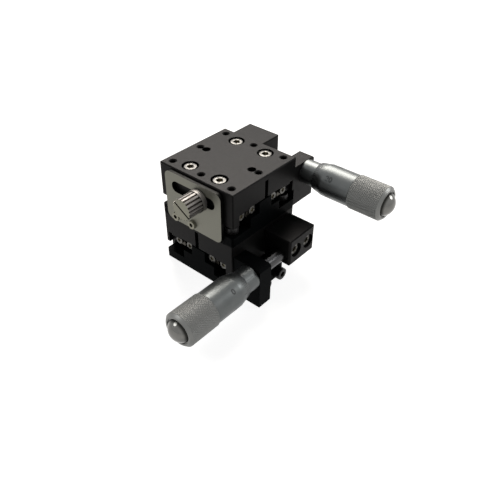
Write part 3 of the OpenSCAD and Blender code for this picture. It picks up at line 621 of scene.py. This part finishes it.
def knob_nickel(unit):
    """Dull nickel on the lock knob, with painted shade in the grooves of the grip and in the screwdriver
    slot. Grooves are what lies nearer to the knob's axis than the lands, on faces that look across the axis."""
    finish = Finish(f"{unit}_knob_nickel", (0.14, 0.135, 0.125), 1.0, 0.28)
    middle = placed(np.array([0, -KNOB_Y, KNOB_Z]), UNITS[unit]) * MM
    across = PLATE_AXIS[unit]
    place = finish.node("ShaderNodeVectorMath", operation="SUBTRACT")
    place.inputs[1].default_value = middle
    finish.link(finish.place, place.inputs[0])
    flat = finish.node("ShaderNodeVectorMath", operation="MULTIPLY")
    flat.inputs[1].default_value = (0, 1, 1) if across == "X" else (1, 0, 1)
    finish.link(place.outputs["Vector"], flat.inputs[0])
    radius = finish.node("ShaderNodeVectorMath", operation="LENGTH")
    finish.link(flat.outputs["Vector"], radius.inputs[0])
    land = finish.spread(radius.outputs["Value"], 0.0, 1.0, (FLUTE_FLOOR + 0.02) * MM, (KNOB_R - 0.12) * MM)
    split = finish.node("ShaderNodeSeparateXYZ")
    finish.link(place.outputs["Vector"], split.inputs["Vector"])
    outer = finish.spread(split.outputs[across], 1.0, 0.0, (-KNOB_END + 0.1) * MM, (-KNOB_END + 0.5) * MM)
    tone = finish.blend(finish.spread(finish.noise(380), 0, 1), (0.15, 0.142, 0.134), (0.2, 0.189, 0.178))
    # painted shade: near black in the grooves and on the slot's walls, which lie inside the lands' radius
    side = finish.blend(land, (0.022, 0.018, 0.015), tone)
    # painted shade: near black on faces that look along the axis further in than the end face, such as the
    # slot's floor and the collar
    face = finish.blend(outer, (0.02, 0.02, 0.015), (0.19, 0.187, 0.15))
    finish.colour(finish.blend(finish.facing(across), side, face))
    finish.roughness(finish.spread(finish.noise(1300), 0.44, 0.52))
    finish.bump(finish.noise(2600), 0.05, 0.02)
    return finish.done()


def polished_cap():
    """Polished nickel dome, with painted shade round its foot, where it stands in the groove."""
    finish = Finish("polished_cap", (0.16, 0.157, 0.145), 1.0, 0.12)
    tone = finish.blend(finish.spread(finish.noise(300), 0, 1), (0.135, 0.133, 0.126), (0.165, 0.163, 0.154))
    # painted shade: near black from the foot up to 0.7 mm, fading out by 1.5 mm
    finish.colour(finish.blend(finish.along(0.7, 1.5), (0.02, 0.02, 0.018), tone))
    finish.roughness(finish.spread(finish.noise(1700), 0.08, 0.17))
    finish.bump(finish.noise(900), 0.03, 0.02)
    return finish.done()


def satin_chrome():
    """Satin chrome with the fine rings of the lathe, and a warmer, paler tone where the grip is rubbed."""
    finish = Finish("satin_chrome", (0.105, 0.112, 0.111), 1.0, 0.37)
    rings = finish.rings(14.0)
    grip = finish.along(GRIP_START, KNURL_START)
    smooth = finish.blend(finish.spread(finish.noise(160), 0, 1), (0.095, 0.102, 0.102), (0.115, 0.121, 0.12))
    finish.colour(finish.blend(grip, smooth, (0.162, 0.164, 0.158)))
    finish.roughness(finish.spread(rings, 0.34, 0.41))
    finish.bump(rings, 0.12, 0.01)
    return finish.done()


def hard_chrome():
    """Ground and polished hard chrome, its colour painted dark as painted shade, for a spindle that lies in
    shadow.
    """
    finish = Finish("hard_chrome", (0.06, 0.06, 0.062), 1.0, 0.26)
    # painted shade: a base colour far darker than chrome
    finish.colour(finish.blend(finish.noise(240), (0.052, 0.052, 0.053), (0.068, 0.068, 0.07)))
    finish.roughness(finish.spread(finish.noise(2200), 0.22, 0.28))
    return finish.done()


def cage_brass():
    """Plain rolled brass."""
    finish = Finish("cage_brass", (0.55, 0.4, 0.16), 1.0, 0.32)
    finish.colour(finish.blend(finish.noise(300), (0.48, 0.34, 0.13), (0.6, 0.45, 0.19)))
    finish.roughness(finish.spread(finish.noise(1600), 0.26, 0.4))
    return finish.done()


def spring_wire():
    """Bright drawn spring wire."""
    finish = Finish("spring_wire", (0.4, 0.4, 0.4), 1.0, 0.3)
    finish.colour(finish.blend(finish.noise(900), (0.33, 0.33, 0.33), (0.46, 0.46, 0.45)))
    finish.roughness(finish.spread(finish.noise(2600), 0.24, 0.38))
    return finish.done()


def scale_paint():
    """Black paint wiped into the engraved lines, thinner in places."""
    finish = Finish("scale_paint", (0.012, 0.013, 0.014), 0.0, 0.55)
    finish.colour(finish.blend(finish.noise(900), (0.008, 0.009, 0.01), (0.03, 0.031, 0.032)))
    finish.roughness(finish.spread(finish.noise(2400), 0.45, 0.65))
    return finish.done()


FINISHES = {
    "black_anodised": anodised_black("anodised_black", (0.010, 0.0096, 0.0096), 0.06),
    "rail_steel": blackened_rail(),
    "stainless_screw": bright_stainless(),
    "black_screw": black_oxide(),
    "nickel": polished_cap(),
    "satin_chrome": satin_chrome(),
    "hard_chrome": hard_chrome(),
    "cage_brass": cage_brass(),
    "spring_steel": spring_wire(),
}
NODE_FINISHES = {f"{unit}_{part}": make(unit) for unit in UNITS
                 for part, make in (("lock_plate", clamp_plate), ("lock_knob", knob_nickel))}
# Shaded copy of the anodising: a darker black painted on the lower base, the lower micrometer bracket and the
# upper base as painted shade
BLACK_PAINTED_SHADE = anodised_black("anodised_black_painted_shade", (0.0035, 0.0042, 0.0046), 0.01)
for node in ("lower_base", "lower_micrometer_bracket", "upper_base"):
    NODE_FINISHES[node] = BLACK_PAINTED_SHADE
PLATE_SCREW = plate_screw()
PAINT = scale_paint()

for entry in frame["record"]["subparts"]:
    slots = frame["nodes"][entry["node"]].data.materials
    slots.clear()
    slots.append(NODE_FINISHES.get(entry["node"]) or FINISHES[entry["material_slot"]])


# Pieces

def screws(unit, name, body, slot, size, length, places, finish=None):
    """A set of like cap screws in place of its CAD node."""
    shell = Shell()
    grid, inside = cap_screw(size, length)
    for place in places:
        shell.add(grid, UNITS[unit] @ place, along=inside)
    shell.piece(f"{unit}_{name}_dressed", body, slot, finish or FINISHES[slot], [f"{unit}_{name}"])


def unit_screws(unit):
    """All cap screws of one unit."""
    fixed, table = FIXED_BODY[unit], TABLE_BODY[unit]
    screws(unit, "outer_rail_screws", table, "stainless_screw", LARGE, OUTER_LEN, corner_places(*OUTER_SCREW))
    screws(unit, "inner_rail_screws", fixed, "black_screw", SMALL, INNER_LEN,
           corner_places(*INNER_SCREW, flip=True))
    screws(unit, "inner_end_screws", fixed, "stainless_screw", END, END_LEN, rail_end_places(INNER_MID_X))
    screws(unit, "outer_end_screws", table, "stainless_screw", END, END_LEN, rail_end_places(OUTER_MID_X))
    screws(unit, "anvil_block_screws", table, "stainless_screw", LARGE, BLOCK_LEN,
           [facing_side(y, BLOCK_SCREW_Z, BLOCK_SEAT) for y in BLOCK_SCREW_Y])
    screws(unit, "bracket_screws", fixed, "black_screw", LARGE, FOOT_LEN,
           [facing_side(y, FOOT_SCREW_Z, FOOT_SEAT) for y in FOOT_SCREW_Y])
    screws(unit, "lock_plate_screws", fixed, "stainless_screw", PLATE, PLATE_LEN,
           [shift(-HALF - PLATE_T, y, PLATE_SCREW_Z) @ turn("Y", -90) for y in PLATE_SCREW_Y], PLATE_SCREW)


def unit_micrometer(unit):
    """Sleeve, thimble, end screw and both scales of one micrometer head."""
    axis = UNITS[unit] @ MICROMETER
    screw_body = f"{unit}_screw"

    sleeve = Shell()
    outline = [(BRACKET_BACK, SPINDLE_BORE_R), (BRACKET_BACK, STEM_R - STEM_BREAK),
               (BRACKET_BACK + STEM_BREAK, STEM_R), (BRACKET_FRONT, STEM_R),
               (BRACKET_FRONT, SLEEVE_R - SLEEVE_BREAK), (BRACKET_FRONT + SLEEVE_BREAK, SLEEVE_R),
               (SLEEVE_END - STEM_BREAK, SLEEVE_R), (SLEEVE_END, SLEEVE_R - STEM_BREAK),
               (SLEEVE_END, SPINDLE_BORE_R)]
    sleeve.add(turned(outline, SLEEVE_COLUMNS), axis, wrap_rows=True, along=[height for height, _ in outline])
    sleeve.piece(f"{unit}_sleeve_turned", FIXED_BODY[unit], "satin_chrome", FINISHES["satin_chrome"],
                 [f"{unit}_micrometer_sleeve"])

    grip = Shell()
    grid, heights = thimble()
    grip.add(grid, axis, wrap_rows=True, along=heights)
    grip.piece(f"{unit}_thimble_knurled", screw_body, "satin_chrome", FINISHES["satin_chrome"],
               [f"{unit}_thimble"], sharp=28)

    cap = Shell()
    dome_r = (CAP_R ** 2 + CAP_H ** 2) / (2 * CAP_H)
    dome = np.linspace(math.asin(CAP_R / dome_r), DOME_TOP, DOME_ROWS)
    outline = [(-CAP_SHANK, POLE_R), (-CAP_SHANK, CAP_SHANK_R), (0, CAP_SHANK_R), (0, CAP_R)]
    outline += [(CAP_H - dome_r + dome_r * math.cos(a), dome_r * math.sin(a)) for a in dome]
    cap.add(turned(outline, CAP_COLUMNS), axis @ shift(0, 0, RECESS_FLOOR),
            along=[height for height, _ in outline])
    cap.piece(f"{unit}_thimble_cap", screw_body, "nickel", FINISHES["nickel"], [f"{unit}_thimble_screw"])

    marks = Shell()
    thimble_scale(marks, axis @ turn("Z", ZERO_ANGLE[unit]))
    marks.piece(f"{unit}_thimble_scale", screw_body, "satin_chrome", PAINT)
    lines = Shell()
    sleeve_scale(lines, axis @ turn("Z", READING_ANGLE[unit]))
    lines.piece(f"{unit}_sleeve_scale", FIXED_BODY[unit], "satin_chrome", PAINT)


def unit_spring(unit):
    """Return spring, which stretches between the pin on the base and the pin on the table."""
    shell = Shell()
    shell.add(swept_tube(spring_path(), WIRE_R), UNITS[unit])
    coil = shell.piece(f"{unit}_spring_coil", None, "spring_steel", FINISHES["spring_steel"],
                       [f"{unit}_return_spring"])
    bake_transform(coil)


for name in UNITS:
    unit_screws(name)
    unit_spring(name)
for name in UNITS:
    unit_micrometer(name)
screws("upper", "base_screws", "middle", "black_screw", LARGE, JOINING_LEN, corner_places(*JOINING_SCREW))


# Studio

FLOOR_SIZE, FLOOR_DROP, FLOOR_TONE = 8.0, 0.0002, 0.4
FLOOR_LIFT, WORLD_LIGHT = 0.9, 0.05
BOX_AIM = Vector((0, 0, 0.024))
GLINT_DISTANCE, GLINT_RADIUS, GLINT_CONE, GLINT_POWER = 0.15, 0.036, math.radians(28), 0.36
CAMERA_AZIMUTH, CAMERA_ELEVATION, CAMERA_ROLL = (math.radians(a) for a in (40.105, 38.377, 0.684))
CAMERA_PLACE = (0.14124, -0.15337, 0.16624)
FOCAL_PX, FRAME_PX, SENSOR_MM = 577.95, 500, 36


def flat_stage(name, size, height, material):
    """Square floor of that size at that height, with four corners."""
    edge = size / 2
    mesh = bpy.data.meshes.new(name)
    corners = [(x * edge, y * edge, height) for x, y in ((-1, -1), (1, -1), (1, 1), (-1, 1))]
    mesh.from_pydata(corners, [], [(0, 1, 2, 3)])
    mesh.materials.append(material)
    floor = bpy.data.objects.new(name, mesh)
    bpy.context.scene.collection.objects.link(floor)


def seen_directly(tree):
    """1 for camera, mirror and glass rays, 0 for the light that falls on things."""
    path = tree.nodes.new("ShaderNodeLightPath")
    total = None
    for output in ("Is Camera Ray", "Is Glossy Ray", "Is Transmission Ray"):
        if total is None:
            total = path.outputs[output]
            continue
        most = tree.nodes.new("ShaderNodeMath")
        most.operation = "MAXIMUM"
        tree.links.new(total, most.inputs[0])
        tree.links.new(path.outputs[output], most.inputs[1])
        total = most.outputs["Value"]
    return total


def floor_material():
    """Pale floor that keeps a soft shadow and otherwise shows white."""
    material = bpy.data.materials.new("pale_floor")
    material.use_nodes = True
    tree = material.node_tree
    shader = tree.nodes["Principled BSDF"]
    shader.inputs["Base Color"].default_value = (FLOOR_TONE, FLOOR_TONE, FLOOR_TONE, 1)
    shader.inputs["Roughness"].default_value = 0.9
    shader.inputs["Specular IOR Level"].default_value = 0.0
    shader.inputs["Emission Color"].default_value = (1, 1, 1, 1)
    lift = tree.nodes.new("ShaderNodeMath")
    lift.operation = "MULTIPLY"
    lift.inputs[1].default_value = FLOOR_LIFT
    tree.links.new(seen_directly(tree), lift.inputs[0])
    tree.links.new(lift.outputs["Value"], shader.inputs["Emission Strength"])
    return material


def white_world():
    """White where it is seen, and a dim even light where it falls on things."""
    world = bpy.data.worlds.new("studio")
    world.use_nodes = True
    tree = world.node_tree
    background = tree.nodes["Background"]
    background.inputs["Color"].default_value = (1, 1, 1, 1)
    strength = tree.nodes.new("ShaderNodeMapRange")
    strength.inputs["To Min"].default_value = WORLD_LIGHT
    strength.inputs["To Max"].default_value = 1.0
    tree.links.new(seen_directly(tree), strength.inputs["Value"])
    tree.links.new(strength.outputs["Result"], background.inputs["Strength"])
    bpy.context.scene.world = world


def soft_box(name, direction, distance, size, power, colour):
    """Square lamp in a direction from the object's middle, facing it."""
    lamp = bpy.data.lights.new(name, "AREA")
    lamp.shape = "SQUARE"
    lamp.size = size
    lamp.energy = power
    lamp.color = colour
    box = bpy.data.objects.new(name, lamp)
    box.location = BOX_AIM + Vector(direction).normalized() * distance
    box.rotation_euler = (box.location - BOX_AIM).to_track_quat("Z", "Y").to_euler()
    bpy.context.scene.collection.objects.link(box)


def spot(name, target, direction):
    """Narrow spot on one micrometer's domed end, a short way off in a direction."""
    lamp = bpy.data.lights.new(name, "SPOT")
    lamp.energy = GLINT_POWER
    lamp.shadow_soft_size = GLINT_RADIUS
    lamp.spot_size = GLINT_CONE
    lamp.spot_blend = 0.1
    place = bpy.data.objects.new(name, lamp)
    place.location = Vector(target) + Vector(direction).normalized() * GLINT_DISTANCE
    place.rotation_euler = Vector(direction).to_track_quat("Z", "Y").to_euler()
    bpy.context.scene.collection.objects.link(place)


def photo_camera():
    """Camera found from the plate's edges and holes in a frame of 500 by 500."""
    level = math.cos(CAMERA_ELEVATION)
    back = Vector((math.sin(CAMERA_AZIMUTH) * level, -math.cos(CAMERA_AZIMUTH) * level,
                   math.sin(CAMERA_ELEVATION)))
    right = (-back).cross(Vector((0, 0, 1))).normalized()
    up = right.cross(-back)
    tilted_right = right * math.cos(CAMERA_ROLL) + up * math.sin(CAMERA_ROLL)
    tilted_up = up * math.cos(CAMERA_ROLL) - right * math.sin(CAMERA_ROLL)
    data = bpy.data.cameras.new("photo_camera")
    data.sensor_width = SENSOR_MM
    data.lens = FOCAL_PX * SENSOR_MM / FRAME_PX
    data.clip_start, data.clip_end = 0.01, 20
    camera = bpy.data.objects.new("photo_camera", data)
    place = Matrix((tilted_right, tilted_up, back)).transposed().to_4x4()
    place.translation = CAMERA_PLACE
    camera.matrix_world = place
    bpy.context.scene.collection.objects.link(camera)
    bpy.context.scene.camera = camera


white_world()
flat_stage("floor", FLOOR_SIZE, -FLOOR_DROP, floor_material())
soft_box("back_box", direction=(-0.45, 0.48, 0.75), distance=0.55, size=0.3, power=4.0,
         colour=(1.0, 0.94, 0.88))
spot("lower_glint", target=(0.0284, -0.0600, 0.0183), direction=(-0.549, -0.536, 0.642))
spot("upper_glint", target=(0.0603, 0.0281, 0.0423), direction=(0.519, 0.703, 0.486))
photo_camera()
bpy.context.scene.view_settings.view_transform = "Standard"
